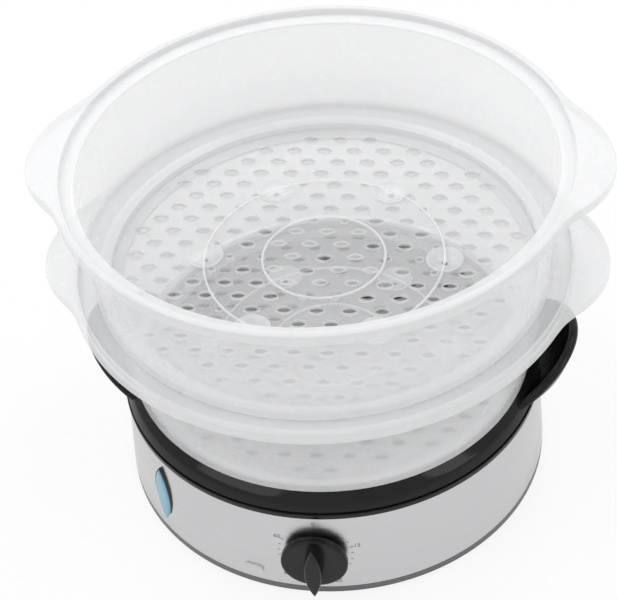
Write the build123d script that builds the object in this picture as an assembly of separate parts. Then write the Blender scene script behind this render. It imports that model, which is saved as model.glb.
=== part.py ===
"""Electric food steamer: heated base with a water tank, and two stacked steaming baskets.

Units are millimetres. The origin is the middle of the footprint on the surface it stands on,
+Z is up, the control knob faces -Y and the carrying ears lie along X.
"""
import os
from math import cos, hypot, radians, sin, sqrt, tan

from build123d import *

# ---- base: feet, pan and steel band ------------------------------------------------------
foot_height = 2.0
foot_radius = 9.0
foot_stem_radius = 3.0
foot_barb_width = 1.0
foot_barb_height = 1.3
foot_count = 4
foot_inset = 23.0
strip_height = 4.0
pan_floor_thickness = 2.5
spigot_height = 2.2
spigot_wall = 2.0
band_height = 51.0
band_spread = 3.0
band_wall = 0.8
vent_count = 8
vent_length = 22.0
vent_width = 3.0
vent_circle_radius = 62.0
screw_radius = 1.5
screw_head_radius = 3.2
screw_head_height = 1.2
screw_length = 15.0
screw_boss_height = 3.0

# ---- water tank --------------------------------------------------------------------------
tank_wall = 2.5
lip_overhang = 1.2
lip_height = 3.0
groove_height = 1.2
groove_depth = 1.6
shoulder_height = 8.8
shoulder_bulge = 0.9
shoulder_share = 0.42
ring_inner_radius = 103.0
ring_width = 9.0
ring_top_width = 2.5
ring_edge_inset = 0.6
ledge_depth = 8.0
ledge_width = 17.0
skirt_depth = 6.0
basin_slope = 5.0
basin_floor_z = 22.0
post_radius = 4.5
post_inset = 6.0
post_angles = (30, 150, 210, 330)

# ---- carrying handles of the tank --------------------------------------------------------
handle_projection = 19.0
handle_radius = 43.0
handle_wall = 3.0
handle_turn = 5.2
handle_turn_height = 17.0
handle_top_rise = 29.0
handle_tilt = 34.0
handle_rim_height = 4.6
handle_rim_overhang = 1.0
handle_rim_rounding = 1.6

# ---- heater ------------------------------------------------------------------------------
heater_opening_radius = 34.0
heater_flange_width = 6.0
heater_plate_thickness = 1.5
heater_seal_thickness = 1.0
clamp_thickness = 2.2
stud_count = 3
stud_radius = 1.5
nut_across_flats = 5.5
nut_thickness = 2.4
element_inset = 9.5
element_tube_radius = 3.2
element_pin_length = 4.0
thermostat_tab = (4.0, 0.8, 4.0)
thermostat_radius = 8.0
thermostat_height = 7.0
fuse_radius = 2.0
fuse_length = 11.0

# ---- timer and knob ----------------------------------------------------------------------
knob_height = 30.0
knob_radius = 17.2
knob_thickness = 4.4
knob_wall = 2.0
knob_chamfer = 0.8
knob_band_gap = 0.9
grip_length = 35.0
grip_width = 9.0
grip_height = 8.0
timer_width = 40.0
timer_corner_radius = 6.0
timer_depth = 17.0
timer_band_space = 3.6
timer_boss_radius = 7.0
bush_radius = 4.5
bush_stand_out = 3.4
bush_nut_across_flats = 13.0
bush_nut_thickness = 2.2
shaft_radius = 3.0
shaft_depth = 10.0
socket_depth = 5.0

# ---- level window and indicator ----------------------------------------------------------
window_angle = -48.0
window_height = 29.5
window_length = 40.0
window_width = 12.5
window_wall = 1.5
window_stand_out = 1.0
window_flange = 1.8
window_flange_width = 3.2
chamber_length = 9.0
port_radius = 2.5
port_rise = 12.0
seal_width = 1.1
seal_depth = 1.2
seal_stand_out = 0.6
indicator_angle = -17.0
indicator_height = 13.0
indicator_length = 11.0
indicator_width = 5.2
indicator_stand_out = 0.6
indicator_face = 2.6
indicator_socket_wall = 1.2
indicator_socket_length = 12.0
lamp_radius = 1.9
lamp_length = 15.0

# ---- mains inlet -------------------------------------------------------------------------
inlet_height = 17.0
gland_radius = 6.0
gland_bore_radius = 3.5
gland_inner_bore_radius = 4.6
gland_flange_radius = 7.5
gland_flange_thickness = 2.0
gland_tail_length = 11.0
gland_tail_radius = 4.8
gland_wall_room = 1.4
terminal_length = 30.0
terminal_width = 13.0
terminal_height = 9.0
terminal_poles = 3
terminal_bore_radius = 2.0
terminal_screw_radius = 1.8
terminal_tuck = 6.0

# ---- steam ring and drip tray ------------------------------------------------------------
steam_ring_margin = 6.0
steam_ring_wall = 1.8
steam_ring_height = 20.0
steam_notch_count = 6
steam_notch_radius = 6.0
tray_thickness = 1.6
tray_depth = 15.0
tray_basin_clearance = 2.2
tray_flange_clearance = 1.0
chimney_inset = 16.0
chimney_height = 12.0

# ---- baskets and their floors ------------------------------------------------------------
basket_height = 67.5
basket_wall = 2.0
basket_foot_depth = 5.5
floor_ledge_width = 8.0
rim_overhang = 9.0
rim_bead_width = 4.0
rim_bead_height = 6.5
rim_lip_height = 4.5
rim_rounding = 1.4
lower_step_width = 4.7
lower_flare = 9.5
upper_step_width = 5.9
upper_flare = 3.5
ear_projection = 15.5
ear_half_chord = 43.0
ear_blend_radius = 20.0
ear_height = 6.0
ear_wall = 2.0
grid_thickness = 2.2
hole_length = 8.6
hole_width = 4.6
hole_shoulder_share = 0.45
hole_pitch = 16.5
hole_row_pitch = 10.0
hole_edge_margin = 7.0
inner_ring_radius = 32.0
outer_ring_radius = 62.5
floor_ring_width = 1.4
floor_ring_height = 0.8
egg_cup_count = 6
egg_cup_radius = 8.5
egg_cup_depth = 3.4
egg_cup_wall = 1.4
egg_drain_radius = 1.6

# ---- clearances --------------------------------------------------------------------------
seat_gap = 0.3
fit_gap = 0.1
running_gap = 0.05
loose_gap = 0.5
foot_seat_gap = 0.7
nesting_gap = 1.9
stud_spare = 1.0

# ---- heights and radii that follow from the sizes above ----------------------------------
pan_floor_top = foot_height + pan_floor_thickness
band_bottom_z = foot_height + strip_height
band_top_z = band_bottom_z + band_height
band_taper = band_spread / band_height
band_top_radius = ring_inner_radius + ring_width
band_bottom_radius = band_top_radius + band_spread
foot_circle_radius = band_bottom_radius - foot_inset
post_circle_radius = ring_inner_radius - post_inset
post_bottom_z = pan_floor_top + screw_boss_height
groove_top_z = band_top_z + lip_height + groove_height
ring_top_z = groove_top_z + shoulder_height
ring_top_radius = ring_inner_radius + ring_top_width
lip_radius = band_top_radius + lip_overhang
skirt_outer_radius = band_top_radius - band_wall - 2 * fit_gap
skirt_inner_radius = skirt_outer_radius - tank_wall
ledge_z = ring_top_z - ledge_depth
ledge_outer_radius = skirt_inner_radius - seat_gap
basin_top_radius = ring_inner_radius - ledge_width
basin_bottom_radius = basin_top_radius - basin_slope
chamber_end_radius = basin_top_radius + chamber_length
handle_centre_x = band_top_radius + handle_projection - handle_radius
handle_top_z = band_top_z + handle_top_rise
heater_flange_radius = heater_opening_radius + heater_flange_width
stud_circle_radius = heater_opening_radius + heater_flange_width / 2
plate_bottom_z = basin_floor_z + heater_seal_thickness
element_ring_radius = heater_opening_radius - element_inset
steam_ring_radius = heater_flange_radius + steam_ring_margin
tray_floor_z = ledge_z + seat_gap - tray_depth
tray_slope = (basin_top_radius - basin_bottom_radius) / (ledge_z - basin_floor_z)
tray_top_radius = basin_top_radius - tray_basin_clearance
tray_foot_radius = tray_top_radius - tray_slope * tray_depth
chimney_radius = steam_ring_radius - chimney_inset
shelf_height = basket_height - rim_lip_height
lower_foot_radius = ring_inner_radius - foot_seat_gap
lower_step_radius = lower_foot_radius + lower_step_width
lower_top_radius = lower_step_radius + lower_flare
upper_foot_radius = lower_top_radius - basket_wall - nesting_gap
upper_step_radius = upper_foot_radius + upper_step_width
upper_top_radius = upper_step_radius + upper_flare
rim_radius = upper_top_radius + rim_overhang
lip_radius_inside = rim_radius - rim_bead_width
ear_reach = rim_radius + ear_projection
lower_seat_z = ring_top_z + seat_gap
upper_seat_z = lower_seat_z + shelf_height + seat_gap


def band_outer_radius(z):
    """Outside radius of the tapered steel band at height z."""
    return band_bottom_radius - band_taper * (z - band_bottom_z)


knob_back_y = -band_outer_radius(knob_height - knob_radius) - knob_band_gap
timer_front_y = -(band_outer_radius(knob_height) - band_wall - timer_band_space)
nut_back_y = -(band_outer_radius(knob_height - bush_nut_across_flats / 2) + seat_gap)
bush_end_y = -(band_outer_radius(knob_height) + bush_stand_out)
shaft_end_y = knob_back_y - knob_thickness - socket_depth + fit_gap


def turned(*points):
    """Solid of revolution about Z from a closed outline of (radius, height) points."""
    return revolve(make_face(Plane.XZ * Polyline(*points, close=True)), axis=Axis.Z)


def drum(radius, bottom, top, x=0.0, y=0.0):
    """Upright cylinder between two heights."""
    return Pos(x, y, bottom) * extrude(Circle(radius), amount=top - bottom)


def facing(angle, radius, z):
    """Frame on the side of the base: local Y is up and local Z points outwards."""
    return Rot(0, 0, angle) * Pos(0, -radius, z) * Rot(90, 0, 0)


def on_circle(radius, angle):
    """Point on a circle about Z, with the angle measured from +X."""
    return radius * cos(radians(angle)), radius * sin(radians(angle))


def spaced(count, start=0.0):
    """Angles of a whole circle shared equally."""
    return [start + 360.0 * index / count for index in range(count)]


def lens_face(length, width):
    """Pointed oval, long along Y."""
    right = ThreePointArc((0, -length / 2), (width / 2, 0), (0, length / 2))
    left = ThreePointArc((0, length / 2), (-width / 2, 0), (0, -length / 2))
    return make_face([right, left])


# ---- base --------------------------------------------------------------------------------
def make_base_pan():
    spigot_outer = band_bottom_radius - band_wall - band_taper * spigot_height - loose_gap
    spigot_inner = spigot_outer - spigot_wall
    pan = turned(
        (0, foot_height),
        (band_bottom_radius, foot_height),
        (band_bottom_radius, band_bottom_z),
        (spigot_outer, band_bottom_z),
        (spigot_outer, band_bottom_z + spigot_height),
        (spigot_inner, band_bottom_z + spigot_height),
        (spigot_inner, pan_floor_top),
        (0, pan_floor_top),
    )
    for angle in spaced(foot_count, 45):
        x, y = on_circle(foot_circle_radius, angle)
        pan -= drum(foot_stem_radius + fit_gap, foot_height, pan_floor_top, x, y)
    for angle in post_angles:
        x, y = on_circle(post_circle_radius, angle)
        pan += drum(post_radius, pan_floor_top, post_bottom_z, x, y)
        pan -= drum(screw_radius + fit_gap, foot_height, post_bottom_z, x, y)
        pan -= drum(screw_head_radius + fit_gap, foot_height, foot_height + screw_head_height, x, y)
    slot = extrude(SlotOverall(vent_length, vent_width), amount=pan_floor_thickness)
    for angle in spaced(vent_count, 22.5):
        pan -= Rot(0, 0, angle) * Pos(vent_circle_radius, 0, foot_height) * slot
    return pan


def make_rubber_feet():
    feet = []
    for angle in spaced(foot_count, 45):
        x, y = on_circle(foot_circle_radius, angle)
        pad = drum(foot_radius, 0, foot_height, x, y)
        barb_bottom = pan_floor_top + fit_gap
        stem = drum(foot_stem_radius, foot_height, barb_bottom, x, y)
        barb_radius = foot_stem_radius + foot_barb_width
        barb = drum(barb_radius, barb_bottom, barb_bottom + foot_barb_height, x, y)
        feet.append(pad + stem + barb)
    return Compound(feet)


def make_pan_screws():
    screws = []
    for angle in post_angles:
        x, y = on_circle(post_circle_radius, angle)
        head = drum(screw_head_radius, foot_height, foot_height + screw_head_height, x, y)
        shank = drum(screw_radius, foot_height + screw_head_height, foot_height + screw_length, x, y)
        screws.append(head + shank)
    return Compound(screws)


def make_housing_band():
    band = turned(
        (band_bottom_radius - band_wall, band_bottom_z),
        (band_bottom_radius, band_bottom_z),
        (band_top_radius, band_top_z),
        (band_top_radius - band_wall, band_top_z),
    )
    inside = band_top_radius / 2
    bush_hole = extrude(Circle(bush_radius + fit_gap), amount=band_bottom_radius)
    band -= facing(0, inside, knob_height) * bush_hole
    window_hole_length = window_length + 2 * seal_width + 4 * fit_gap
    window_hole_width = window_width + 2 * seal_width + 2 * fit_gap
    window_hole = extrude(lens_face(window_hole_length, window_hole_width), amount=band_bottom_radius)
    band -= facing(window_angle, inside, window_height) * window_hole
    indicator_slot = SlotOverall(indicator_length + 2 * fit_gap, indicator_width + 2 * fit_gap)
    indicator_hole = extrude(indicator_slot, amount=band_bottom_radius)
    band -= facing(indicator_angle, inside, indicator_height) * indicator_hole
    gland_hole = extrude(Circle(gland_radius + fit_gap), amount=band_bottom_radius)
    band -= facing(180, inside, inlet_height) * gland_hole
    return band


# ---- water tank --------------------------------------------------------------------------
def ring_skin():
    """Outer outline of the ring from the band's upper edge to the ring's top, without its groove."""
    shoulder_radius = (ring_top_radius + lip_radius) / 2 + shoulder_bulge
    return [
        (lip_radius, band_top_z),
        (lip_radius, band_top_z + lip_height),
        (lip_radius - ring_edge_inset, groove_top_z),
        (shoulder_radius, ring_top_z - shoulder_share * shoulder_height),
        (ring_top_radius, ring_top_z),
    ]


def make_tank_ring():
    """Black ring that hides the tank's edge and grips the steel band from inside with its skirt."""
    groove_radius = lip_radius - groove_depth
    ring = turned(
        *ring_skin(),
        (ring_inner_radius, ring_top_z),
        (ring_inner_radius, ledge_z),
        (skirt_inner_radius, ledge_z),
        (skirt_inner_radius, band_top_z - skirt_depth),
        (skirt_outer_radius, band_top_z - skirt_depth),
        (skirt_outer_radius, band_top_z),
    )
    groove = drum(lip_radius + lip_overhang, groove_top_z - groove_height, groove_top_z)
    return ring - (groove - drum(groove_radius, groove_top_z - groove_height, groove_top_z))


def basin_space():
    """The water space, used to trim what would reach into it."""
    return turned(
        (0, basin_floor_z),
        (basin_bottom_radius, basin_floor_z),
        (basin_top_radius, ledge_z),
        (0, ledge_z),
    )


def make_water_tank():
    tank = turned(
        (ledge_outer_radius, ledge_z),
        (ledge_outer_radius, ledge_z - tank_wall),
        (basin_top_radius + tank_wall, ledge_z - tank_wall),
        (basin_bottom_radius + tank_wall, basin_floor_z - tank_wall),
        (heater_opening_radius, basin_floor_z - tank_wall),
        (heater_opening_radius, basin_floor_z),
        (basin_bottom_radius, basin_floor_z),
        (basin_top_radius, ledge_z),
    )
    chamber = lens_face(window_length - 2 * window_wall, window_width - 2 * window_wall)
    boss = lens_face(window_length + 2 * window_wall, window_width + 2 * window_wall)
    inside = basin_bottom_radius / 2
    boss_solid = extrude(boss, amount=chamber_end_radius - inside)
    tank += facing(window_angle, inside, window_height) * boss_solid - basin_space()
    chamber_start = basin_top_radius + window_stand_out
    chamber_space = extrude(chamber, amount=chamber_length)
    tank -= facing(window_angle, chamber_start, window_height) * chamber_space
    port = extrude(Circle(port_radius), amount=chamber_start + port_radius - inside)
    for port_z in (basin_floor_z + 2 * port_radius, window_height + port_rise):
        tank -= facing(window_angle, inside, port_z) * port
    for angle in post_angles:
        x, y = on_circle(post_circle_radius, angle)
        tank += drum(post_radius, post_bottom_z, ledge_z - tank_wall, x, y)
        tank -= drum(screw_radius + running_gap, post_bottom_z, foot_height + screw_length, x, y)
    for angle in spaced(stud_count, 90):
        x, y = on_circle(stud_circle_radius, angle)
        tank -= drum(stud_radius + fit_gap, basin_floor_z - tank_wall, basin_floor_z, x, y)
    return tank


# ---- carrying handles --------------------------------------------------------------------
def bowl(radius, floor_z, root):
    """Turned bowl about Z: a flat floor out to root, a bend and an upright wall."""
    wall_start = floor_z + handle_turn_height
    wall_end = handle_top_z + handle_rim_height
    middle = (radius - handle_turn, floor_z + handle_turn)
    bend = ThreePointArc((root, floor_z), middle, (radius, wall_start))
    floor_line = Polyline((0, wall_end), (0, floor_z), (root, floor_z))
    wall_line = Polyline((radius, wall_start), (radius, wall_end), (0, wall_end))
    profile = make_face([Plane.XZ * floor_line, Plane.XZ * bend, Plane.XZ * wall_line])
    return revolve(profile, axis=Axis.Z)


def make_scoop():
    """Open scoop about its own axis: a bowl cut off by a tilted plane, with a rolled rim."""
    root = lip_radius - handle_centre_x
    shell = bowl(handle_radius, band_top_z, root)
    shell -= bowl(handle_radius - handle_wall, band_top_z + handle_wall, root - handle_wall / 2)
    rim_rise = handle_radius * tan(radians(handle_tilt))
    rim_plane = Pos(0, 0, handle_top_z - rim_rise) * Rot(0, -handle_tilt, 0)
    block = 8 * handle_radius
    above = rim_plane * Pos(0, 0, block / 2) * Box(block, block, block)
    below = rim_plane * Pos(0, 0, -block / 2 - handle_rim_height) * Box(block, block, block)
    rim_top = handle_top_z + 2 * handle_rim_height
    rim = drum(handle_radius + handle_rim_overhang, band_top_z, rim_top)
    rim -= drum(handle_radius - handle_wall - handle_rim_overhang, band_top_z, rim_top)
    rim = rim - above - below
    return shell - above + fillet(rim.edges(), handle_rim_rounding)


def make_right_handle():
    scoop = Pos(handle_centre_x, 0, 0) * make_scoop()
    core_top = handle_top_z + 2 * handle_rim_height
    core_foot = band_top_z - lip_height
    core = turned(
        (lip_radius, core_foot), *ring_skin(), (ring_top_radius, core_top), (0, core_top), (0, core_foot)
    )
    return scoop - core


def make_left_handle():
    return mirror(make_right_handle(), Plane.YZ)


# ---- heater ------------------------------------------------------------------------------
def make_heater_plate():
    plate = drum(heater_flange_radius, plate_bottom_z, plate_bottom_z + heater_plate_thickness)
    stud_end = basin_floor_z - tank_wall - clamp_thickness - nut_thickness - stud_spare
    for angle in spaced(stud_count, 90):
        x, y = on_circle(stud_circle_radius, angle)
        plate += drum(stud_radius, stud_end, plate_bottom_z, x, y)
    return plate


def make_flange_ring(bottom, top):
    ring = drum(heater_flange_radius, bottom, top) - drum(heater_opening_radius, bottom, top)
    for angle in spaced(stud_count, 90):
        x, y = on_circle(stud_circle_radius, angle)
        ring -= drum(stud_radius + fit_gap, bottom, top, x, y)
    return ring


def make_heater_seal():
    return make_flange_ring(basin_floor_z, plate_bottom_z)


def make_heater_clamp():
    clamp_top = basin_floor_z - tank_wall
    return make_flange_ring(clamp_top - clamp_thickness, clamp_top)


def make_heater_nuts():
    nuts = []
    nut_top = basin_floor_z - tank_wall - clamp_thickness
    for angle in spaced(stud_count, 90):
        x, y = on_circle(stud_circle_radius, angle)
        nut = extrude(RegularPolygon(nut_across_flats / 2, 6, major_radius=False), amount=-nut_thickness)
        nut -= drum(stud_radius + running_gap, -nut_thickness, 0)
        nuts.append(Pos(x, y, nut_top) * nut)
    return Compound(nuts)


def make_heating_element():
    centre_z = plate_bottom_z - element_tube_radius - fit_gap
    path = Pos(0, 0, centre_z) * CenterArc((0, 0), element_ring_radius, 110, 320)
    tube = sweep(Plane(origin=path @ 0, z_dir=path % 0) * Circle(element_tube_radius), path=path)
    for end, direction in ((path @ 0, -(path % 0)), (path @ 1, path % 1)):
        pin = extrude(Circle(element_tube_radius / 2), amount=element_pin_length)
        tube += Plane(origin=end, z_dir=direction) * pin
    return tube


def make_thermostat():
    top = plate_bottom_z - fit_gap
    can = drum(thermostat_radius, top - thermostat_height, top)
    for side in (-1, 1):
        can += Pos(side * thermostat_radius / 2, 0, top - thermostat_height) * Box(*thermostat_tab)
    return can


def make_thermal_fuse():
    centre_z = plate_bottom_z - fuse_radius - fit_gap
    clearance = thermostat_radius + 2 * fuse_radius
    return Pos(-clearance, -fuse_length / 2, centre_z) * Rot(-90, 0, 0) * extrude(
        Circle(fuse_radius), amount=fuse_length
    )


# ---- timer, knob -------------------------------------------------------------------------
def at_timer(y):
    """Frame on the knob's axis, local Z towards the user, starting at a y in the part's frame."""
    return Pos(0, y, knob_height) * Rot(90, 0, 0)


def make_timer_body():
    body = at_timer(timer_front_y) * extrude(
        RectangleRounded(timer_width, timer_width, timer_corner_radius), amount=-timer_depth
    )
    boss_relief = band_taper * timer_boss_radius + timer_boss_radius**2 / (2 * band_top_radius)
    boss_length = timer_band_space - boss_relief - seat_gap
    body += at_timer(timer_front_y) * extrude(Circle(timer_boss_radius), amount=boss_length)
    body += at_timer(timer_front_y) * extrude(Circle(bush_radius), amount=timer_front_y - bush_end_y)
    bore_start_y = timer_front_y + shaft_depth
    bore = extrude(Circle(shaft_radius + running_gap), amount=bore_start_y - bush_end_y)
    return body - at_timer(bore_start_y) * bore


def make_timer_nut():
    nut = extrude(
        RegularPolygon(bush_nut_across_flats / 2, 6, major_radius=False), amount=bush_nut_thickness
    )
    nut -= extrude(Circle(bush_radius + running_gap), amount=bush_nut_thickness)
    return at_timer(nut_back_y) * nut


def make_timer_shaft():
    start_y = timer_front_y + shaft_depth - seat_gap
    return at_timer(start_y) * extrude(Circle(shaft_radius), amount=start_y - shaft_end_y)


def make_timer_knob():
    disc = extrude(Circle(knob_radius), amount=knob_thickness)
    disc = chamfer(disc.edges().sort_by(Axis.Z)[-1], knob_chamfer)
    disc -= extrude(Circle(knob_radius - knob_wall), amount=knob_thickness - knob_wall)
    disc += Pos(0, 0, knob_thickness) * extrude(lens_face(grip_length, grip_width), amount=grip_height)
    socket = extrude(Circle(shaft_radius + running_gap), amount=knob_thickness + socket_depth)
    return at_timer(knob_back_y) * (disc - socket)


# ---- window, lamp ------------------------------------------------------------------------
def make_level_window():
    outer_radius = band_outer_radius(window_height) + window_stand_out
    length = outer_radius - chamber_end_radius
    frame = facing(window_angle, chamber_end_radius, window_height)
    window = frame * extrude(lens_face(window_length, window_width), amount=length)
    flange_radius = skirt_inner_radius - window_flange - seat_gap
    flange = lens_face(window_length + 2 * window_flange_width, window_width + 2 * window_flange_width)
    window += facing(window_angle, flange_radius, window_height) * extrude(flange, amount=window_flange)
    chamber = lens_face(window_length - 2 * window_wall, window_width - 2 * window_wall)
    return window - frame * extrude(chamber, amount=length - window_wall)


def make_window_seal():
    start = band_top_radius - band_wall - seal_depth
    end = band_outer_radius(window_height) + seal_stand_out
    ring = lens_face(window_length + 2 * seal_width, window_width + 2 * seal_width)
    hole = lens_face(window_length + 2 * fit_gap, window_width + 2 * fit_gap)
    frame = facing(window_angle, start, window_height)
    return frame * (extrude(ring, amount=end - start) - extrude(hole, amount=end - start))


def make_indicator_lens():
    outer = band_outer_radius(indicator_height) + indicator_stand_out
    inner = band_outer_radius(indicator_height) - band_wall - indicator_socket_length
    frame = facing(indicator_angle, inner, indicator_height)
    depth = outer - inner - indicator_face
    lens = frame * extrude(Circle(lamp_radius + fit_gap + indicator_socket_wall), amount=depth)
    face = extrude(SlotOverall(indicator_length, indicator_width), amount=-indicator_face)
    lens += facing(indicator_angle, outer, indicator_height) * face
    return lens - frame * extrude(Circle(lamp_radius + fit_gap), amount=depth)


def make_indicator_lamp():
    end = band_outer_radius(indicator_height) + indicator_stand_out - indicator_face - seat_gap
    lamp = extrude(Circle(lamp_radius), amount=lamp_length)
    return facing(indicator_angle, end - lamp_length, indicator_height) * lamp


# ---- mains inlet -------------------------------------------------------------------------
def make_cord_gland():
    wall_outer = band_outer_radius(inlet_height - gland_flange_radius) + seat_gap
    wall_inner = band_outer_radius(inlet_height) - band_wall - gland_wall_room
    flange_end = wall_outer + gland_flange_thickness
    inner_end = wall_inner - gland_flange_thickness
    tail_end = flange_end + gland_tail_length
    outline = Polyline(
        (gland_inner_bore_radius, inner_end),
        (gland_flange_radius, inner_end),
        (gland_flange_radius, wall_inner),
        (gland_radius, wall_inner),
        (gland_radius, wall_outer),
        (gland_flange_radius, wall_outer),
        (gland_flange_radius, flange_end),
        (gland_radius, flange_end),
        (gland_tail_radius, tail_end),
        (gland_bore_radius, tail_end),
        (gland_bore_radius, flange_end + fit_gap),
        (gland_inner_bore_radius, flange_end + fit_gap),
        close=True,
    )
    gland = revolve(make_face(Plane.XZ * outline), axis=Axis.Z)
    return Pos(0, 0, inlet_height) * Rot(-90, 0, 0) * gland


def make_terminal_block():
    centre_y = basin_top_radius + tank_wall + terminal_width / 2 - terminal_tuck
    centre_z = pan_floor_top + terminal_height / 2
    block = Pos(0, centre_y, centre_z) * Box(terminal_length, terminal_width, terminal_height)
    pole_pitch = terminal_length / terminal_poles
    for index in range(terminal_poles):
        x = (index - (terminal_poles - 1) / 2) * pole_pitch
        bore = Rot(90, 0, 0) * Cylinder(terminal_bore_radius, terminal_width)
        block -= Pos(x, centre_y, centre_z) * bore
        block -= drum(terminal_screw_radius, centre_z, pan_floor_top + terminal_height, x, centre_y)
    return block


# ---- steam ring, drip tray ---------------------------------------------------------------
def make_steam_ring():
    bottom = basin_floor_z + seat_gap
    top = bottom + steam_ring_height
    ring = drum(steam_ring_radius, bottom, top) - drum(steam_ring_radius - steam_ring_wall, bottom, top)
    notch = Rot(0, 90, 0) * extrude(Circle(steam_notch_radius), amount=2 * steam_ring_radius)
    for angle in spaced(steam_notch_count, 30):
        ring -= Pos(0, 0, bottom) * Rot(0, 0, angle) * notch
    return ring


def make_drip_tray():
    """Flange that rests on the tank's ledge and the sloping wall that hangs from it."""
    flange_bottom = ledge_z + seat_gap
    flange_top = flange_bottom + tray_thickness
    return turned(
        (tray_foot_radius, tray_floor_z),
        (tray_top_radius, flange_bottom),
        (ring_inner_radius - tray_flange_clearance, flange_bottom),
        (ring_inner_radius - tray_flange_clearance, flange_top),
        (tray_top_radius - tray_thickness, flange_top),
        (tray_foot_radius - tray_thickness, tray_floor_z),
    )


def make_tray_floor():
    """Flat floor between the tray's wall and its chimney."""
    floor_top = tray_floor_z + tray_thickness
    floor_radius = tray_foot_radius - tray_thickness
    return drum(floor_radius, tray_floor_z, floor_top) - drum(chimney_radius, tray_floor_z, floor_top)


def make_tray_chimney():
    """Steam passage through the tray, with a wall that keeps the condensate in."""
    top = tray_floor_z + chimney_height
    tube = drum(chimney_radius, tray_floor_z, top)
    return tube - drum(chimney_radius - tray_thickness, tray_floor_z, top)


# ---- baskets -----------------------------------------------------------------------------
def ear_plan(inset):
    """Outline of the rim with its two ears, moved inwards by inset."""
    root_x = sqrt(rim_radius**2 - ear_half_chord**2)
    depth = ear_reach - root_x
    ear_radius = (depth**2 + ear_half_chord**2) / (2 * depth)
    plan = Circle(rim_radius - inset)
    for side in (-1, 1):
        plan += Pos(side * (ear_reach - ear_radius), 0) * Circle(ear_radius - inset)
    return fillet(plan.vertices(), ear_blend_radius + inset)


def make_basket(seat_z, foot_radius_out, step_radius, top_radius):
    """Basket open at the bottom: a foot with a ledge for its floor and a flared wall."""
    bottom = -basket_foot_depth
    basket = turned(
        (foot_radius_out - floor_ledge_width, bottom),
        (foot_radius_out, bottom),
        (foot_radius_out, 0),
        (step_radius, 0),
        (top_radius, shelf_height - basket_wall),
        (top_radius - basket_wall, shelf_height - basket_wall),
        (step_radius - basket_wall, basket_wall),
        (foot_radius_out - basket_wall, basket_wall),
        (foot_radius_out - basket_wall, bottom + basket_wall),
        (foot_radius_out - floor_ledge_width, bottom + basket_wall),
    )
    return Pos(0, 0, seat_z) * basket


def make_rim(seat_z, top_radius):
    """Shelf on a basket's wall with a lip round it and two ears that are hollow underneath."""
    rim = turned(
        (top_radius - basket_wall, shelf_height - basket_wall),
        (lip_radius_inside, shelf_height - basket_wall),
        (rim_radius, basket_height - rim_bead_height),
        (rim_radius, basket_height - rim_rounding),
        (rim_radius - rim_rounding, basket_height),
        (lip_radius_inside, basket_height),
        (lip_radius_inside, shelf_height),
        (top_radius - basket_wall, shelf_height),
    )
    ear_bottom = basket_height - rim_rounding - ear_height
    ears = Pos(0, 0, ear_bottom) * extrude(ear_plan(0), amount=ear_height)
    ears -= Pos(0, 0, ear_bottom) * extrude(ear_plan(ear_wall), amount=ear_height - ear_wall)
    ears -= drum(rim_radius - rim_bead_width / 2, ear_bottom, basket_height)
    return Pos(0, 0, seat_z) * (rim + ears)


def hole_outline():
    """Pointed oval with straight edges, long along X."""
    half_length = hole_length / 2
    half_width = hole_width / 2
    shoulder = hole_shoulder_share * half_length
    return Polygon(
        (-half_length, 0),
        (-shoulder, -half_width),
        (shoulder, -half_width),
        (half_length, 0),
        (shoulder, half_width),
        (-shoulder, half_width),
        align=None,
    )


def hole_places(grid_radius):
    """Centres of the steam holes: staggered rows that leave room for the rings and the egg cups."""
    places = []
    row_count = int(grid_radius / hole_row_pitch)
    column_count = int(grid_radius / hole_pitch) + 1
    cups = [on_circle(outer_ring_radius, angle) for angle in spaced(egg_cup_count)]
    for row in range(-row_count, row_count + 1):
        y = row * hole_row_pitch
        shift = (row % 2) * hole_pitch / 2
        for column in range(-column_count, column_count + 1):
            x = column * hole_pitch + shift
            clear_of_edge = hypot(x, y) < grid_radius - hole_edge_margin
            nearest_cup = min(hypot(x - cup_x, y - cup_y) for cup_x, cup_y in cups)
            clear_of_cups = nearest_cup > egg_cup_radius + hole_length / 2
            if clear_of_edge and clear_of_cups:
                places.append((x, y))
    return places


def make_grid(seat_z, foot_radius_out):
    """Drop-in floor: a plate with steam holes, two ribs and hollows that hold eggs."""
    bottom = seat_z - basket_foot_depth + basket_wall + seat_gap
    top = bottom + grid_thickness
    grid_radius = foot_radius_out - basket_wall - loose_gap
    plate = Circle(grid_radius)
    holes = [Pos(x, y) * hole_outline() for x, y in hole_places(grid_radius)]
    grid = extrude(plate - holes, amount=grid_thickness)
    grid = Pos(0, 0, bottom) * grid
    for ring_radius in (inner_ring_radius, outer_ring_radius):
        ring = Circle(ring_radius + floor_ring_width / 2) - Circle(ring_radius - floor_ring_width / 2)
        grid += Pos(0, 0, top) * extrude(ring, amount=floor_ring_height)
    cup_outer = (egg_cup_radius**2 + egg_cup_depth**2) / (2 * egg_cup_depth)
    ball = Pos(0, 0, top + cup_outer - egg_cup_depth) * Sphere(cup_outer)
    shell = Pos(0, 0, top + cup_outer - egg_cup_depth) * Sphere(cup_outer + egg_cup_wall)
    shell &= drum(egg_cup_radius + egg_cup_wall, top - egg_cup_depth - egg_cup_wall, top)
    for angle in spaced(egg_cup_count):
        x, y = on_circle(outer_ring_radius, angle)
        grid += Pos(x, y, 0) * shell
        grid -= Pos(x, y, 0) * ball
        grid -= drum(egg_drain_radius, top - egg_cup_depth - egg_cup_wall, top, x, y)
    return grid


def make_lower_basket():
    return make_basket(lower_seat_z, lower_foot_radius, lower_step_radius, lower_top_radius)


def make_lower_rim():
    return make_rim(lower_seat_z, lower_top_radius)


def make_lower_grid():
    return make_grid(lower_seat_z, lower_foot_radius)


def make_upper_basket():
    return make_basket(upper_seat_z, upper_foot_radius, upper_step_radius, upper_top_radius)


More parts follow.
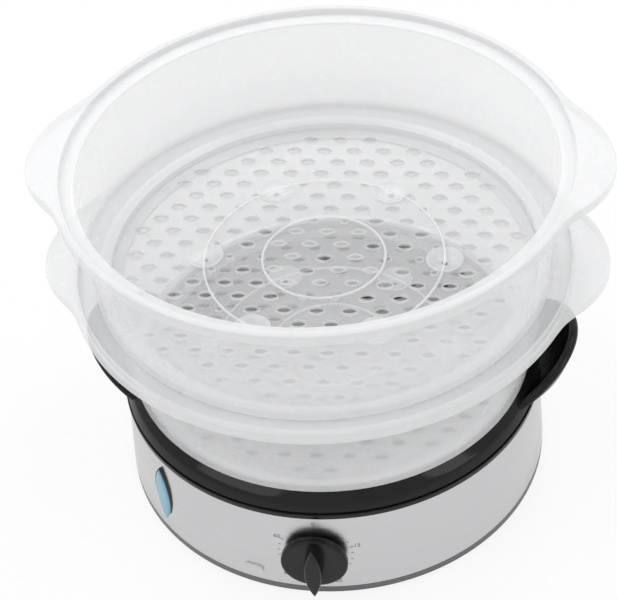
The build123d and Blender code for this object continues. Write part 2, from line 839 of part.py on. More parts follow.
def make_upper_rim():
    return make_rim(upper_seat_z, upper_top_radius)


def make_upper_grid():
    return make_grid(upper_seat_z, upper_foot_radius)


sub_parts = {
    "base_pan": make_base_pan,
    "rubber_feet": make_rubber_feet,
    "pan_screws": make_pan_screws,
    "housing_band": make_housing_band,
    "water_tank": make_water_tank,
    "tank_ring": make_tank_ring,
    "right_handle": make_right_handle,
    "left_handle": make_left_handle,
    "heater_plate": make_heater_plate,
    "heater_seal": make_heater_seal,
    "heater_clamp": make_heater_clamp,
    "heater_nuts": make_heater_nuts,
    "heating_element": make_heating_element,
    "thermostat": make_thermostat,
    "thermal_fuse": make_thermal_fuse,
    "timer_body": make_timer_body,
    "timer_nut": make_timer_nut,
    "timer_shaft": make_timer_shaft,
    "timer_knob": make_timer_knob,
    "level_window": make_level_window,
    "window_seal": make_window_seal,
    "indicator_lens": make_indicator_lens,
    "indicator_lamp": make_indicator_lamp,
    "cord_gland": make_cord_gland,
    "terminal_block": make_terminal_block,
    "steam_ring": make_steam_ring,
    "drip_tray": make_drip_tray,
    "tray_floor": make_tray_floor,
    "tray_chimney": make_tray_chimney,
    "lower_basket": make_lower_basket,
    "lower_rim": make_lower_rim,
    "lower_grid": make_lower_grid,
    "upper_basket": make_upper_basket,
    "upper_rim": make_upper_rim,
    "upper_grid": make_upper_grid,
}

os.makedirs("parts", exist_ok=True)
for name, make in sub_parts.items():
    export_step(make(), f"parts/{name}.step")
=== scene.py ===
"""Looks of the electric food steamer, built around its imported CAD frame.

Helper functions take millimetres in the part's own frame and write metres. Lights are in metres.
"""

import math

import bmesh
import bpy
from mathutils import Matrix, Vector


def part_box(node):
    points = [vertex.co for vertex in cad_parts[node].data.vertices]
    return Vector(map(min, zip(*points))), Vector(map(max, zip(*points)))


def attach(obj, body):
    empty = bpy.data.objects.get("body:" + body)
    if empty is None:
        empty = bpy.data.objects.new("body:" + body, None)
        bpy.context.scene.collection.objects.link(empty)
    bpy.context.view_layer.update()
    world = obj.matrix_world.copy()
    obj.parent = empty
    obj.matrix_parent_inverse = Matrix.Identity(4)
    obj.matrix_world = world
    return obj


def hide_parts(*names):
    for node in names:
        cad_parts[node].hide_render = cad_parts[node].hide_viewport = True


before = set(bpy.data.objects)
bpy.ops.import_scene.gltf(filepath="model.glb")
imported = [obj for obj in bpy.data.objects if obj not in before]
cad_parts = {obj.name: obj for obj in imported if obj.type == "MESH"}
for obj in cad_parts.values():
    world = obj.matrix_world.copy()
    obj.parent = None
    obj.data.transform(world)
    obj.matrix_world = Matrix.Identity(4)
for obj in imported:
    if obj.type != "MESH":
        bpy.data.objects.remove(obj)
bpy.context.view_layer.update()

MM = 0.001


def node_box(node):
    """Lowest and highest corner of a CAD node in millimetres."""
    low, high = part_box(node)
    return low / MM, high / MM


# ---- sizes: heights read from the frame, the others as in the part's source ----------------
band_low, band_high = node_box("housing_band")
lower_low, _ = node_box("lower_basket")
upper_low, _ = node_box("upper_basket")
knob_low, knob_high = node_box("timer_knob")

BAND_FOOT_RADIUS = 115.0
BAND_HEAD_RADIUS = 112.0
BAND_WALL = 0.8
BAND_FOOT = band_low.z
BAND_HEAD = band_high.z

KNOB_HEIGHT = 30.0
KNOB_RADIUS = 17.2
GRIP_STAND_OUT = 8.0

WINDOW_ANGLE = -48.0
WINDOW_HEIGHT = 29.5
WINDOW_LENGTH = 40.0
WINDOW_WIDTH = 12.5
WINDOW_EDGE = 1.1

RING_INNER = 103.0
RING_SHOULDER = 105.5
LIP_RADIUS = 113.2
RING_TOP = 70.0
LEDGE = 62.0
SKIRT_WALL = 2.5
SKIRT_DEPTH = 6.0

HANDLE_AXIS = 88.0
HANDLE_RADIUS = 44.0
HANDLE_TILT = 34.0
HANDLE_RISE = 30.0
HANDLE_WALL = 2.6
HANDLE_BEAD = 2.5
HANDLE_FOOT = 21.0
HANDLE_HALF_ANGLE = 76.0

RIM_RADIUS = 131.0
RIM_INNER_RADIUS = 127.0
RIM_DEPTH = 6.5
RIM_SKIN = 1.5
LIP_HEIGHT = 4.5
EAR_REACH = 146.5
EAR_HALF_CHORD = 43.0
EAR_BLEND = 3.2
EAR_DROP = 3.4
BASKET_HEIGHT = 67.5
BASKET_WALL = 2.0
FOOT_DEPTH = 5.5
FOOT_LEDGE = 8.0
BASKET_SIZES = {  # height of the seat, radius of the foot, of the step and of the wall's top
    "lower": (lower_low.z + FOOT_DEPTH, 102.3, 107.0, 116.5),
    "upper": (upper_low.z + FOOT_DEPTH, 112.6, 118.5, 122.0),
}

GRID_THICKNESS = 2.2
GRID_EDGE = 0.35
HOLE_LENGTH = 8.8
HOLE_WIDTH = 4.8
HOLE_PITCH = 16.5
HOLE_ROW = 10.0
HOLE_MARGIN = 7.0
RING_RADII = (32.0, 62.5)
RIB_HEIGHT = 0.8
CUP_RADIUS = 8.5
CUP_CIRCLE = 62.5
CUP_COUNT = 6
CUP_DEPTH = 3.4
CUP_SKIN = 1.4
CUP_DRAIN = 1.6
CUP_STEPS = 8


def band_radius(z):
    """Outside radius of the steel band at height z."""
    share = (z - BAND_FOOT) / (BAND_HEAD - BAND_FOOT)
    return BAND_FOOT_RADIUS + (BAND_HEAD_RADIUS - BAND_FOOT_RADIUS) * share


# ---- materials -----------------------------------------------------------------------------
WALL_ALPHA_FOOT = 0.54
WALL_ALPHA_TOP = 0.34
WALL_FADE_HEIGHT = 45.0
RIM_ALPHA = 0.56
GRID_ALPHA = 0.21
HOLE_EDGE_ALPHA = 0.62
LOWER_HOLE_EDGE_ALPHA = 0.34
CUP_ALPHA = 0.40


def new_material(name, color, roughness, **sockets):
    """Principled material; further sockets are given by name, with _ for a space."""
    material = bpy.data.materials.new(name)
    material.use_nodes = True
    shader = material.node_tree.nodes["Principled BSDF"]
    shader.inputs["Base Color"].default_value = (*color, 1.0)
    shader.inputs["Roughness"].default_value = roughness
    for socket, value in sockets.items():
        shader.inputs[socket.replace("_", " ")].default_value = value
    return material


def object_noise(material, scale, detail=2.0, stretch=(1, 1, 1)):
    """Noise texture in object space, in cycles per metre along each axis."""
    nodes = material.node_tree.nodes
    links = material.node_tree.links
    place = nodes.new("ShaderNodeTexCoord")
    mapping = nodes.new("ShaderNodeMapping")
    mapping.inputs["Scale"].default_value = stretch
    noise = nodes.new("ShaderNodeTexNoise")
    noise.inputs["Scale"].default_value = scale
    noise.inputs["Detail"].default_value = detail
    links.new(place.outputs["Object"], mapping.inputs["Vector"])
    links.new(mapping.outputs["Vector"], noise.inputs["Vector"])
    return noise


def add_bump(material, noise, strength, distance):
    nodes = material.node_tree.nodes
    links = material.node_tree.links
    bump = nodes.new("ShaderNodeBump")
    bump.inputs["Strength"].default_value = strength
    bump.inputs["Distance"].default_value = distance
    links.new(noise.outputs["Fac"], bump.inputs["Height"])
    links.new(bump.outputs["Normal"], nodes["Principled BSDF"].inputs["Normal"])


def vary(material, noise, socket, low, high):
    """Drives a socket by noise between two values."""
    nodes = material.node_tree.nodes
    links = material.node_tree.links
    spread = nodes.new("ShaderNodeMapRange")
    spread.inputs["From Min"].default_value = 0.3
    spread.inputs["From Max"].default_value = 0.7
    spread.inputs["To Min"].default_value = low
    spread.inputs["To Max"].default_value = high
    links.new(noise.outputs["Fac"], spread.inputs["Value"])
    links.new(spread.outputs["Result"], nodes["Principled BSDF"].inputs[socket])


def vary_color(material, noise, dark, light):
    nodes = material.node_tree.nodes
    links = material.node_tree.links
    mix = nodes.new("ShaderNodeMix")
    mix.data_type = "RGBA"
    mix.inputs["A"].default_value = (*dark, 1)
    mix.inputs["B"].default_value = (*light, 1)
    links.new(noise.outputs["Fac"], mix.inputs["Factor"])
    links.new(mix.outputs["Result"], nodes["Principled BSDF"].inputs["Base Color"])


def milky_plastic(name, alpha, color=(0.93, 0.935, 0.945), gloss=0.17):
    material = new_material(name, color, gloss, Alpha=alpha, Specular_IOR_Level=0.45)
    haze = object_noise(material, 60, 3)
    vary(material, haze, "Roughness", gloss, 1.8 * gloss)
    return material


def thin_towards_top(material, foot_z, top_z, foot_alpha, top_alpha):
    """Milkiness that fades with height, as the moulded wall gets thinner."""
    nodes = material.node_tree.nodes
    links = material.node_tree.links
    place = nodes.new("ShaderNodeTexCoord")
    split = nodes.new("ShaderNodeSeparateXYZ")
    fade = nodes.new("ShaderNodeMapRange")
    fade.inputs["From Min"].default_value = foot_z * MM
    fade.inputs["From Max"].default_value = top_z * MM
    fade.inputs["To Min"].default_value = foot_alpha
    fade.inputs["To Max"].default_value = top_alpha
    links.new(place.outputs["Object"], split.inputs["Vector"])
    links.new(split.outputs["Z"], fade.inputs["Value"])
    links.new(fade.outputs["Result"], nodes["Principled BSDF"].inputs["Alpha"])


def black_plastic(name, roughness, color=(0.008, 0.008, 0.0085)):
    material = new_material(name, color, roughness, Specular_IOR_Level=0.26)
    grain = object_noise(material, 900, 2)
    add_bump(material, grain, 0.05, 0.0002)
    return material


def brushed_steel():
    material = new_material("brushed_steel", (0.60, 0.60, 0.61), 0.30, Metallic=1.0)
    brush = object_noise(material, 30, 4, stretch=(1, 1, 60))
    vary(material, brush, "Roughness", 0.26, 0.38)
    add_bump(material, brush, 0.12, 0.0003)
    return material


wall_plastic = {
    "lower": milky_plastic("lower_wall_plastic", WALL_ALPHA_TOP),
    "upper": milky_plastic("upper_wall_plastic", WALL_ALPHA_TOP),
}
for which, foot in (("lower", lower_low.z), ("upper", upper_low.z)):
    thin_towards_top(wall_plastic[which], foot, foot + WALL_FADE_HEIGHT, WALL_ALPHA_FOOT, WALL_ALPHA_TOP)
rim_plastic = milky_plastic("rim_plastic", RIM_ALPHA, (0.86, 0.865, 0.875))
grid_plastic = milky_plastic("grid_plastic", GRID_ALPHA)
hole_edge_plastic = {
    "lower": milky_plastic("lower_hole_edge_plastic", LOWER_HOLE_EDGE_ALPHA),
    "upper": milky_plastic("upper_hole_edge_plastic", HOLE_EDGE_ALPHA),
}
cup_plastic = milky_plastic("cup_plastic", CUP_ALPHA, gloss=0.05)
tank_plastic = black_plastic("tank_plastic", 0.10)
tray_plastic = black_plastic("tray_plastic", 0.28, (0.010, 0.010, 0.011))
knob_plastic = black_plastic("knob_plastic", 0.24)
band_steel = brushed_steel()
pan_plastic = new_material("pan_plastic", (0.13, 0.13, 0.135), 0.45)
add_bump(pan_plastic, object_noise(pan_plastic, 1500), 0.1, 0.0002)
foot_rubber = new_material("foot_rubber", (0.03, 0.03, 0.03), 0.8)
add_bump(foot_rubber, object_noise(foot_rubber, 1200), 0.2, 0.0003)
plated_steel = new_material("plated_steel", (0.62, 0.62, 0.60), 0.3, Metallic=1.0)
vary(plated_steel, object_noise(plated_steel, 300), "Roughness", 0.22, 0.4)
heater_alloy = new_material("heater_alloy", (0.70, 0.70, 0.70), 0.38, Metallic=1.0)
vary(heater_alloy, object_noise(heater_alloy, 120), "Roughness", 0.3, 0.48)
seal_rubber = new_material("seal_rubber", (0.02, 0.022, 0.025), 0.6)
add_bump(seal_rubber, object_noise(seal_rubber, 900), 0.1, 0.0002)
window_plastic = new_material("window_plastic", (0.24, 0.50, 0.62), 0.12)
vary_color(window_plastic, object_noise(window_plastic, 60), (0.09, 0.29, 0.40), (0.22, 0.48, 0.60))
lens_plastic = new_material("lens_plastic", (0.85, 0.85, 0.84), 0.08, Alpha=0.6)
vary(lens_plastic, object_noise(lens_plastic, 200), "Roughness", 0.05, 0.14)
control_plastic = new_material("control_plastic", (0.68, 0.66, 0.60), 0.5)
vary(control_plastic, object_noise(control_plastic, 200), "Roughness", 0.42, 0.6)
print_ink = new_material("print_ink", (0.12, 0.12, 0.125), 0.5)
vary(print_ink, object_noise(print_ink, 900), "Roughness", 0.4, 0.6)

CAD_FINISH = {
    "base_pan": pan_plastic,
    "rubber_feet": foot_rubber,
    "pan_screws": plated_steel,
    "heater_plate": heater_alloy,
    "heater_seal": seal_rubber,
    "heater_clamp": plated_steel,
    "heater_nuts": plated_steel,
    "heating_element": heater_alloy,
    "thermostat": heater_alloy,
    "thermal_fuse": control_plastic,
    "timer_body": control_plastic,
    "timer_nut": plated_steel,
    "timer_shaft": plated_steel,
    "indicator_lamp": lens_plastic,
    "cord_gland": foot_rubber,
    "terminal_block": control_plastic,
    "steam_ring": tray_plastic,
    "drip_tray": tray_plastic,
    "housing_band": band_steel,
    "water_tank": tank_plastic,
    "tank_ring": tank_plastic,
    "right_handle": tank_plastic,
    "left_handle": tank_plastic,
    "tray_chimney": tray_plastic,
    "timer_knob": knob_plastic,
    "level_window": window_plastic,
    "window_seal": seal_rubber,
    "indicator_lens": lens_plastic,
    "lower_basket": wall_plastic["lower"],
    "upper_basket": wall_plastic["upper"],
    "lower_rim": rim_plastic,
    "upper_rim": rim_plastic,
    "lower_grid": grid_plastic,
    "upper_grid": grid_plastic,
}
for node, material in CAD_FINISH.items():
    cad_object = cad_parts[node]
    if not cad_object.material_slots:
        cad_object.data.materials.append(material)
    for material_slot in cad_object.material_slots:
        material_slot.material = material


# ---- mesh helpers --------------------------------------------------------------------------
def linked(name, data):
    """New object in the scene."""
    new_object = bpy.data.objects.new(name, data)
    bpy.context.scene.collection.objects.link(new_object)
    return new_object


def shade(mesh, smooth_angle, weld=0.0):
    """Turns the faces outwards and shades them smooth, except at edges sharper than smooth_angle."""
    edit = bmesh.new()
    edit.from_mesh(mesh)
    if weld:
        bmesh.ops.remove_doubles(edit, verts=edit.verts, dist=weld)
    bmesh.ops.recalc_face_normals(edit, faces=edit.faces)
    for face in edit.faces:
        face.smooth = True
    for edge in edit.edges:
        if len(edge.link_faces) == 2 and edge.calc_face_angle(0) > math.radians(smooth_angle):
            edge.smooth = False
    edit.to_mesh(mesh)
    edit.free()


def mesh_object(name, vertices, faces, material, smooth_angle=40.0):
    mesh = bpy.data.meshes.new(name)
    mesh.from_pydata([Vector(v) * MM for v in vertices], [], faces)
    mesh.validate()
    piece = linked(name, mesh)
    shade(mesh, smooth_angle)
    mesh.materials.append(material)
    return piece


def drawn_mesh(name, curve):
    """Mesh of a filled curve or text; the curve's own object is removed."""
    holder = linked(name, curve)
    drawn = holder.evaluated_get(bpy.context.evaluated_depsgraph_get())
    mesh = bpy.data.meshes.new_from_object(drawn)
    bpy.data.objects.remove(holder)
    return mesh


def rounded(outline, radius, steps=5):
    """Closed outline with each corner replaced by an arc; a corner (r, z, own_radius) sets its own."""
    result = []
    count = len(outline)
    for index in range(count):
        here = Vector(outline[index][:2])
        before = Vector(outline[index - 1][:2]) - here
        after = Vector(outline[(index + 1) % count][:2]) - here
        wanted = outline[index][2] if len(outline[index]) > 2 else radius
        turn = before.angle(after)
        reach = wanted / math.tan(turn / 2) if turn > 0.01 else 0.0
        reach = min(reach, 0.48 * before.length, 0.48 * after.length)
        if wanted <= 0 or reach < 0.02 or turn > math.pi - 0.02:
            result.append(tuple(here))
            continue
        start = here + before.normalized() * reach
        end = here + after.normalized() * reach
        for step in range(steps + 1):
            t = step / steps
            point = start * (1 - t) ** 2 + here * 2 * t * (1 - t) + end * t**2
            result.append(tuple(point))
    return result


def swept_ring(name, section_at, segments, material, smooth_angle=40.0):
    """Closed ring about Z: section_at(angle) gives the closed section as (radius, height) points."""
    vertices = []
    faces = []
    size = 0
    for segment in range(segments):
        angle = 2 * math.pi * segment / segments
        section = section_at(angle)
        size = len(section)
        for radius, height in section:
            vertices.append((radius * math.cos(angle), radius * math.sin(angle), height))
    for segment in range(segments):
        start = segment * size
        ahead = (segment + 1) % segments * size
        for index in range(size):
            after = (index + 1) % size
            faces.append((start + index, ahead + index, ahead + after, start + after))
    return mesh_object(name, vertices, faces, material, smooth_angle)


def turned(name, outline, radius, material, segments=192, steps=4):
    """Turned piece from a closed (radius, height) outline whose corners are rounded."""
    section = rounded(outline, radius, steps)
    return swept_ring(name, lambda angle: section, segments, material)


def join(name, pieces):
    """One object from several, keeping the first one's name."""
    bpy.ops.object.select_all(action="DESELECT")
    for piece in pieces:
        piece.select_set(True)
    bpy.context.view_layer.objects.active = pieces[0]
    bpy.ops.object.join()
    pieces[0].name = name
    return pieces[0]


def side_frame(angle, radius, height):
    """Frame on the side of the base: local X to the right, local Y up, local Z outwards."""
    turn = Matrix.Rotation(math.radians(angle), 4, "Z")
    place = Matrix.Translation(Vector((0, -radius, height)) * MM)
    return turn @ place @ Matrix.Rotation(math.pi / 2, 4, "X")


def dress(piece, body, slot_name, *nodes):
    """Puts a piece on its body, in place of the named nodes if there are any; slot_name is not used."""
    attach(piece, body)
    if nodes:
        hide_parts(*nodes)
    return piece


# ---- baskets -------------------------------------------------------------------------------
def ear_extension(angle):
    """How far the rim stands out beyond its round outline at an angle."""
    root_x = math.sqrt(RIM_RADIUS**2 - EAR_HALF_CHORD**2)
    depth = EAR_REACH - root_x
    ear_radius = (depth**2 + EAR_HALF_CHORD**2) / (2 * depth)
    centre = EAR_REACH - ear_radius
    side = abs(math.cos(angle))
    across = math.sin(angle)
    under_root = ear_radius**2 - (centre * across) ** 2
    reach = centre * side + math.sqrt(under_root) if under_root > 0 else 0.0
    difference = (reach - RIM_RADIUS) / EAR_BLEND
    return EAR_BLEND * math.log1p(math.exp(difference))


def basket_section(seat_z, foot_radius, step_radius, top_radius, angle):
    """Closed section of a basket at an angle: foot, wall, shelf, lip and the hollow rim with its ears."""
    ear = ear_extension(angle)
    if ear < 0.05:
        ear = 0.0
    drop = EAR_DROP * (ear / (EAR_REACH - RIM_RADIUS)) ** 1.5
    top = BASKET_HEIGHT
    shelf = top - LIP_HEIGHT
    under_top = top - RIM_SKIN - 1.2
    edge = RIM_RADIUS + ear
    edge_foot = top - RIM_DEPTH - 0.5 * drop
    wall = BASKET_WALL
    outline = [
        (foot_radius - FOOT_LEDGE, -FOOT_DEPTH, 0.5),
        (foot_radius, -FOOT_DEPTH, 0.9),
        (foot_radius, 0.0, 0.8),
        (step_radius, 0.0, 1.6),
        (top_radius, shelf - wall, 1.8),
        (RIM_INNER_RADIUS + RIM_SKIN, shelf - wall, 0.3),
        (RIM_INNER_RADIUS + RIM_SKIN, under_top, 0.5),
        (edge - RIM_SKIN, under_top - drop, 0.8),
        (edge - RIM_SKIN, edge_foot, 0.4),
        (edge, edge_foot, 0.4),
        (edge, top - 0.8 - drop, 1.3),
        (RIM_RADIUS - 1.8, top, 1.3),
        (RIM_INNER_RADIUS, top, 0.7),
        (RIM_INNER_RADIUS, shelf, 0.9),
        (top_radius - wall, shelf, 1.4),
        (step_radius - wall, wall, 1.6),
        (foot_radius - wall, wall, 0.8),
        (foot_radius - wall, wall - FOOT_DEPTH, 0.5),
        (foot_radius - FOOT_LEDGE, wall - FOOT_DEPTH, 0.5),
    ]
    return [(radius, height + seat_z) for radius, height in rounded(outline, 0.5, 4)]


def make_basket(which):
    seat_z, foot_radius, step_radius, top_radius = BASKET_SIZES[which]
    basket = swept_ring(
        f"{which}_basket_shell",
        lambda angle: basket_section(seat_z, foot_radius, step_radius, top_radius, angle),
        288,
        wall_plastic[which],
    )
    basket.data.materials.append(rim_plastic)
    rim_start = (seat_z + BASKET_HEIGHT - RIM_DEPTH - 1.0) * MM
    for face in basket.data.polygons:
        if face.center.z > rim_start and face.center.xy.length > (top_radius - 3.0) * MM:
            face.material_index = 1
    return dress(basket, f"{which}_basket", "basket_plastic", f"{which}_basket", f"{which}_rim")


# ---- perforated floors ---------------------------------------------------------------------
def circle_points(radius, count, x=0.0, y=0.0):
    points = []
    for index in range(count):
        angle = 2 * math.pi * index / count
        points.append((x + radius * math.cos(angle), y + radius * math.sin(angle)))
    return points


def moved(points, x, y):
    return [(px + x, py + y) for px, py in points]


def lens_points(length, width, steps=6):
    """Pointed oval along X as a list of points, anticlockwise."""
    half = length / 2
    bulge = width / 2
    radius = (half**2 + bulge**2) / (2 * bulge)
    spread = math.asin(min(1.0, half / radius))
    points = []
    for side in (-1, 1):
        for step in range(steps):
            angle = -spread + 2 * spread * step / steps
            x = radius * math.sin(angle)
            y = radius * math.cos(angle) - (radius - bulge)
            points.append((-side * x, side * y))
    return points


def hole_places(grid_radius, cups):
    """Through holes, half-size holes beside cups and rings, and blind dimples inside the inner ring."""
    through = []
    small = []
    blind = []
    rows = int(grid_radius / HOLE_ROW)
    columns = int(grid_radius / HOLE_PITCH) + 1
    for row in range(-rows, rows + 1):
        y = row * HOLE_ROW
        shift = (row % 2) * HOLE_PITCH / 2
        for column in range(-columns, columns + 1):
            x = column * HOLE_PITCH + shift
            distance = math.hypot(x, y)
            if distance > grid_radius - HOLE_MARGIN:
                continue
            nearest_cup = min(math.hypot(x - cup_x, y - cup_y) for cup_x, cup_y in cups)
            if nearest_cup < CUP_RADIUS + 1.5:
                continue
            if nearest_cup < CUP_RADIUS + HOLE_LENGTH / 2 + 0.3:
                small.append((x, y))
            elif distance < RING_RADII[0] - 2.5 and (row * 3 + column) % 4:
                blind.append((x, y))
            elif min(abs(distance - radius) for radius in RING_RADII) < 2.0:
                small.append((x, y))
            else:
                through.append((x, y))
    return through, small, blind


def add_spline(curve, points):
    spline = curve.splines.new("POLY")
    spline.points.add(len(points) - 1)
    for point, (x, y) in zip(spline.points, points):
        point.co = (x * MM, y * MM, 0, 1)
    spline.use_cyclic_u = True


def curve_mesh(name, splines, extrude, bevel, height, material, edge_material):
    """Flat filled plate with holes and rounded edges from closed outlines."""
    curve = bpy.data.curves.new(name, "CURVE")
    curve.dimensions = "2D"
    curve.fill_mode = "BOTH"
    curve.extrude = extrude * MM
    curve.bevel_depth = bevel * MM
    curve.bevel_resolution = 1
    for points in splines:
        add_spline(curve, points)
    mesh = drawn_mesh(name, curve)
    plate = linked(name, mesh)
    mesh.transform(Matrix.Translation((0, 0, height * MM)))
    shade(mesh, 50, weld=0.01 * MM)
    mesh.materials.clear()
    mesh.materials.append(material)
    mesh.materials.append(edge_material)
    for face in mesh.polygons:
        if abs(face.normal.z) < 0.9:
            face.material_index = 1
    return plate


def rib_outline(radius, top):
    foot = top - 0.2
    crest = top + RIB_HEIGHT
    return [(radius - 0.8, foot), (radius + 0.8, foot), (radius + 0.5, crest), (radius - 0.5, crest)]


def cup_section(top):
    """Closed section of an egg cup about its own axis: a shallow ball's cap with a drain."""
    ball = (CUP_RADIUS**2 + CUP_DEPTH**2) / (2 * CUP_DEPTH)
    section = []
    for step in range(CUP_STEPS + 1):
        radius = CUP_DRAIN + (CUP_RADIUS - CUP_DRAIN) * step / CUP_STEPS
        section.append((radius, top + ball - CUP_DEPTH - math.sqrt(ball**2 - radius**2)))
    section.append((CUP_RADIUS + 0.6, top + 0.5))
    section.append((CUP_RADIUS + 1.3, top - 0.1))
    for step in range(CUP_STEPS + 1):
        radius = CUP_RADIUS + 0.6 - (CUP_RADIUS - 1.0) * step / CUP_STEPS
        sag = math.sqrt(ball**2 - min(radius, CUP_RADIUS) ** 2)
        section.append((radius, top - CUP_SKIN + ball - CUP_DEPTH - sag))
    return section


def make_grid(which):
    seat_z, foot_radius, _, _ = BASKET_SIZES[which]
    grid_radius = foot_radius - BASKET_WALL - 0.5
    bottom = seat_z - FOOT_DEPTH + BASKET_WALL + 0.3
    top = bottom + GRID_THICKNESS
    middle = (bottom + top) / 2
    cups = circle_points(CUP_CIRCLE, CUP_COUNT)
    through, small, blind = hole_places(grid_radius, cups)
    edge = GRID_EDGE
    hole = lens_points(HOLE_LENGTH + 2 * edge, HOLE_WIDTH + 2 * edge)
    small_hole = lens_points(0.55 * HOLE_LENGTH + 2 * edge, 0.6 * HOLE_WIDTH + 2 * edge, 4)
    outlines = [circle_points(grid_radius - edge, 160)]
    outlines += [moved(hole, x, y) for x, y in through]
    outlines += [moved(small_hole, x, y) for x, y in small]
    outlines += [circle_points(CUP_RADIUS + 0.2, 32, x, y) for x, y in cups]
    edge_plastic = hole_edge_plastic[which]
    depth = GRID_THICKNESS / 2 - edge
    pieces = [curve_mesh(f"{which}_floor", outlines, depth, edge, middle, grid_plastic, edge_plastic)]
    for radius in RING_RADII:
        pieces.append(turned(f"{which}_rib", rib_outline(radius, top), 0.3, cup_plastic, 128, 2))
    section = cup_section(top)
    for x, y in cups:
        cup = swept_ring(f"{which}_cup", lambda angle: section, 40, cup_plastic)
        cup.data.transform(Matrix.Translation((x * MM, y * MM, 0)))
        pieces.append(cup)
    dimple = lens_points(HOLE_LENGTH, HOLE_WIDTH)
    dimple_inside = lens_points(HOLE_LENGTH - 1.6, HOLE_WIDTH - 1.3)
    bead = 0.12
    for x, y in blind:
        outlines = [moved(dimple, x, y), moved(dimple_inside, x, y)]
        pieces.append(
            curve_mesh(f"{which}_dimple", outlines, bead, bead, top + bead, grid_plastic, edge_plastic)
        )
    grid = join(f"{which}_floor_plate", pieces)
    return dress(grid, f"{which}_grid", "basket_plastic", f"{which}_grid")


# ---- black ring and handles ----------------------------------------------------------------
def make_ring():
    lip = LIP_RADIUS
    skirt = LIP_RADIUS - 2.2
    skirt_inner = skirt - SKIRT_WALL
    skirt_foot = BAND_HEAD - SKIRT_DEPTH
    groove = lip - 1.6
    groove_low = BAND_HEAD + 3.0
    groove_high = BAND_HEAD + 4.2
    outline = [
        (RING_INNER, RING_TOP, 0.8),
        (RING_SHOULDER, RING_TOP, 1.2),
        ((RING_SHOULDER + lip) / 2 + 0.9, RING_TOP - 3.7, 6.0),
        (lip - 0.6, groove_high, 0.5),
        (groove, groove_high, 0.2),
        (groove, groove_low, 0.2),
        (lip, groove_low, 0.5),
        (lip, BAND_HEAD, 0.4),
        (skirt, BAND_HEAD, 0),
        (skirt, skirt_foot, 0.4),
        (skirt_inner, skirt_foot, 0.4),
        (skirt_inner, LEDGE, 0.2),
        (RING_INNER, LEDGE, 0.3),
    ]
    ring = turned("tank_ring_skin", outline, 0.5, tank_plastic, 256, 5)
    return dress(ring, "base", "tank_plastic", "tank_ring")


def handle_section(direction):
    """Section of the scoop in a vertical plane through its own axis: (distance from it, height)."""
    radius = HANDLE_RADIUS
    tilt = math.tan(math.radians(HANDLE_TILT))
    rim_height = BAND_HEAD + HANDLE_RISE - radius * tilt + radius * math.cos(direction) * tilt
    bead = HANDLE_BEAD
    wall = HANDLE_WALL
    foot = HANDLE_FOOT
    start = BAND_HEAD + 0.2
    rise = rim_height - bead - start
    outer = []
    inner = []
    for step in range(15):
        turn = math.pi / 2 * step / 14
        reach = foot + (radius - bead - 0.4 - foot) * math.sin(turn) ** 0.85
        climb = (1 - math.cos(turn)) ** 1.1
        outer.append((reach + 0.4 * wall, start + rise * climb))
        inner.append((reach - 0.6 * wall, start + wall * 0.9 + (rise - wall * 0.6) * climb))
    bead_points = []
    for step in range(1, 12):
        turn = math.radians(-50 + 280 * step / 12)
        reach = radius - bead + bead * math.cos(turn)
        bead_points.append((reach, rim_height - bead + bead * math.sin(turn)))
    return outer + bead_points + inner[::-1]


def make_handle(side, node):
    """Scoop swept about its own axis; side is 1 for the right one and -1 for the left one."""
    vertices = []
    faces = []
    steps = 72
    limit = math.radians(HANDLE_HALF_ANGLE)
    size = 0
    for index in range(steps + 1):
        direction = -limit + 2 * limit * index / steps
        section = handle_section(direction)
        size = len(section)
        for reach, height in section:
            x = HANDLE_AXIS + reach * math.cos(direction)
            vertices.append((side * x, reach * math.sin(direction), height))
    for index in range(steps):
        for corner in range(size):
            after = (corner + 1) % size
            start = index * size
            ahead = start + size
            faces.append((start + corner, ahead + corner, ahead + after, start + after))
    faces.append(tuple(range(size)))
    faces.append(tuple(steps * size + corner for corner in range(size)))
    handle = mesh_object(f"{node}_scoop", vertices, faces, tank_plastic, 60)
    return dress(handle, "base", "tank_plastic", node)


# ---- steel band ----------------------------------------------------------------------------
def make_band():
    outline = [
        (BAND_FOOT_RADIUS - BAND_WALL, BAND_FOOT, 0),
        (BAND_FOOT_RADIUS, BAND_FOOT, 0.3),
        (BAND_HEAD_RADIUS, BAND_HEAD, 0.3),
        (BAND_HEAD_RADIUS - BAND_WALL, BAND_HEAD, 0),
    ]
    band = turned("steel_band", outline, 0.2, band_steel, 288, 2)
    return dress(band, "base", "band_steel", "housing_band")


# ---- knob, dial and level window -----------------------------------------------------------
CROWN_SHORTENING = 0.16
DEGREES_PER_MINUTE = 5.0
MARK_COUNT = 25
MARK_MINUTES = 2.5
MARK_HALF_WIDTH = 0.22
NUMBER_SIZE = 3.6
INK_LIFT = 0.05


def lens_solid(name, length, width, depth, crown, material, narrowing=0.42):
    """Upright pointed oval with a crowned face; local Y is its length, local Z points out."""
    outline = lens_points(length, width, 14)
    vertices = []
    faces = []
    levels = 7
    count = len(outline)
    for level in range(levels + 1):
        turn = math.pi / 2 * level / levels
        across = 1 - narrowing * (1 - math.cos(turn))
        along = 1 - CROWN_SHORTENING * (1 - math.cos(turn))
        height = depth + crown * math.sin(turn)
        for x, y in outline:
            vertices.append((-y * across, x * along, height))
    base = len(vertices)
    for x, y in outline:
        vertices.append((-y, x, 0))
    for level in range(levels):
        start = level * count
        ahead = start + count
        for index in range(count):
            after = (index + 1) % count
            faces.append((start + index, start + after, ahead + after, ahead + index))
    for index in range(count):
        after = (index + 1) % count
        faces.append((base + index, base + after, after, index))
    faces.append(tuple(levels * count + index for index in range(count)))
    faces.append(tuple(base + index for index in range(count))[::-1])
    return mesh_object(name, vertices, faces, material, 50)


